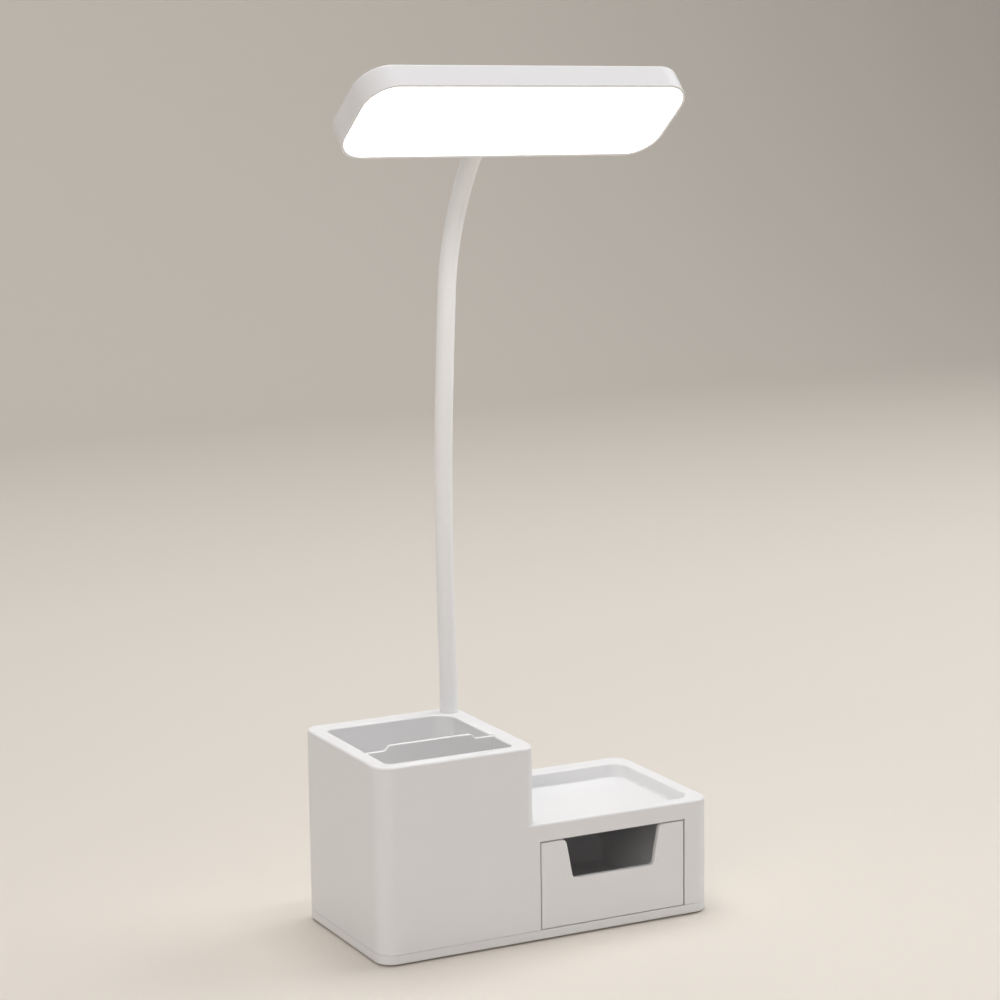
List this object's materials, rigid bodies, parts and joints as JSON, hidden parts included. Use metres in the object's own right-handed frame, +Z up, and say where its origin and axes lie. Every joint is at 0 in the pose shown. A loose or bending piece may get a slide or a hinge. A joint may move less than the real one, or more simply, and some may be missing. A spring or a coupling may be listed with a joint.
{
  "type": "desk lamp with drawer base",
  "caption": "Flat-panel desk lamp on a bendable neck, standing on an organiser base with a divided pen cup, a tray and a drawer.",
  "frame": {"origin": "on the table, under the centre of the base", "axes": "+Z up, -Y the front where the drawer opens, +X along the base towards the drawer side"},
  "size_m": [0.1822, 0.1012, 0.4156],
  "materials": {
    "white_plastic": "satin moulded",
    "button_plastic": "satin moulded",
    "black_plastic": "moulded",
    "connector_plastic": "moulded",
    "chip_plastic": "moulded",
    "foot_rubber": "soft",
    "lead_rubber": "smooth jacket",
    "neck_rubber": "smooth silicone",
    "screw_steel": "zinc plated",
    "ballast_steel": "rolled",
    "spring_steel": "nickel plated",
    "socket_steel": "stamped",
    "plated_steel": "turned, plated",
    "gooseneck_steel": "wound",
    "cell_wrap": "shrink wrap",
    "circuit_board": "solder mask",
    "led_board": "white solder mask",
    "led_lens": "phosphor",
    "indicator_lens": "frosted",
    "clear_acrylic": "polished",
    "reflector_film": "white film",
    "diffuser_plastic": "opal"
  },
  "bodies": {
    "base": {"upper_housing": "white_plastic", "bottom_cover": "white_plastic", "rubber_feet": "foot_rubber", "cover_screws": "screw_steel", "ballast_plate": "ballast_steel", "ballast_screws": "screw_steel", "battery_holder": "black_plastic", "battery_cell": "cell_wrap", "battery_contacts": "spring_steel", "battery_lead": "lead_rubber", "control_board": "circuit_board", "board_screws": "screw_steel", "board_components": "chip_plastic", "usb_socket": "socket_steel", "power_switch": "black_plastic", "indicator_light": "indicator_lens", "lead_connector": "connector_plastic", "neck_ferrule": "plated_steel", "neck_washer": "plated_steel", "neck_nut": "plated_steel", "neck_lead_base": "lead_rubber", "neck_sleeve_1": "neck_rubber", "neck_core_1": "gooseneck_steel", "neck_lead_1": "lead_rubber"},
    "drawer": {"drawer": "white_plastic"},
    "divider": {"pen_divider": "white_plastic"},
    "button": {"power_button": "button_plastic"},
    "neck_2": {"neck_flex_1": "neck_rubber", "neck_sleeve_2": "neck_rubber", "neck_core_2": "gooseneck_steel", "neck_lead_2": "lead_rubber"},
    "neck_3": {"neck_flex_2": "neck_rubber", "neck_sleeve_3": "neck_rubber", "neck_core_3": "gooseneck_steel", "neck_lead_3": "lead_rubber"},
    "neck_4": {"neck_flex_3": "neck_rubber", "neck_sleeve_4": "neck_rubber", "neck_core_4": "gooseneck_steel", "neck_lead_4": "lead_rubber"},
    "neck_5": {"neck_flex_4": "neck_rubber", "neck_sleeve_5": "neck_rubber", "neck_core_5": "gooseneck_steel", "neck_lead_5": "lead_rubber"},
    "head": {"neck_flex_5": "neck_rubber", "neck_sleeve_6": "neck_rubber", "neck_core_6": "gooseneck_steel", "neck_lead_6": "lead_rubber", "head_shell": "white_plastic", "diffuser": "diffuser_plastic", "head_frame": "white_plastic", "head_screws": "screw_steel", "led_board": "led_board", "led_chips": "led_lens", "light_guide": "clear_acrylic", "reflector_sheet": "reflector_film", "neck_end_ferrule": "plated_steel", "neck_set_screw": "screw_steel", "head_lead": "lead_rubber"}
  },
  "joints": [
    {"name": "drawer_slide", "type": "slide", "parent": "base", "child": "drawer", "axis": [0, -1, 0], "range_m": [0, 0.0639]},
    {"name": "divider_lift", "type": "slide", "parent": "base", "child": "divider", "axis": [0, 0, 1], "range_m": [0, 0.088]},
    {"name": "button_press", "type": "slide", "parent": "base", "child": "button", "axis": [0, -1, 0], "range_m": [0, 0.0008], "stiffness_N_per_m": 800},
    {"name": "neck_bend_1", "type": "hinge", "parent": "base", "child": "neck_2", "pos_m": [-0.01293, 0.03818, 0.13179], "axis": [0.9931, 0.1175, 0], "range_deg": [-25, 25], "deforming": ["neck_flex_1"]},
    {"name": "neck_side_1", "type": "hinge", "parent": "neck_2", "child": "neck_3", "pos_m": [-0.01306, 0.0393, 0.18578], "axis": [0.1175, -0.993, 0.007], "range_deg": [-25, 25], "deforming": ["neck_flex_2"]},
    {"name": "neck_bend_2", "type": "hinge", "parent": "neck_3", "child": "neck_4", "pos_m": [-0.01288, 0.03779, 0.24374], "axis": [0.9931, 0.1175, 0], "range_deg": [-30, 30], "deforming": ["neck_flex_3"]},
    {"name": "neck_side_2", "type": "hinge", "parent": "neck_4", "child": "neck_5", "pos_m": [-0.0124, 0.03367, 0.3016], "axis": [0.1171, -0.9896, -0.0837], "range_deg": [-25, 25], "deforming": ["neck_flex_4"]},
    {"name": "neck_bend_3", "type": "hinge", "parent": "neck_5", "child": "head", "pos_m": [-0.01097, 0.02161, 0.34824], "axis": [0.9931, 0.1175, 0], "range_deg": [-35, 35], "deforming": ["neck_flex_5"]}
  ]
}
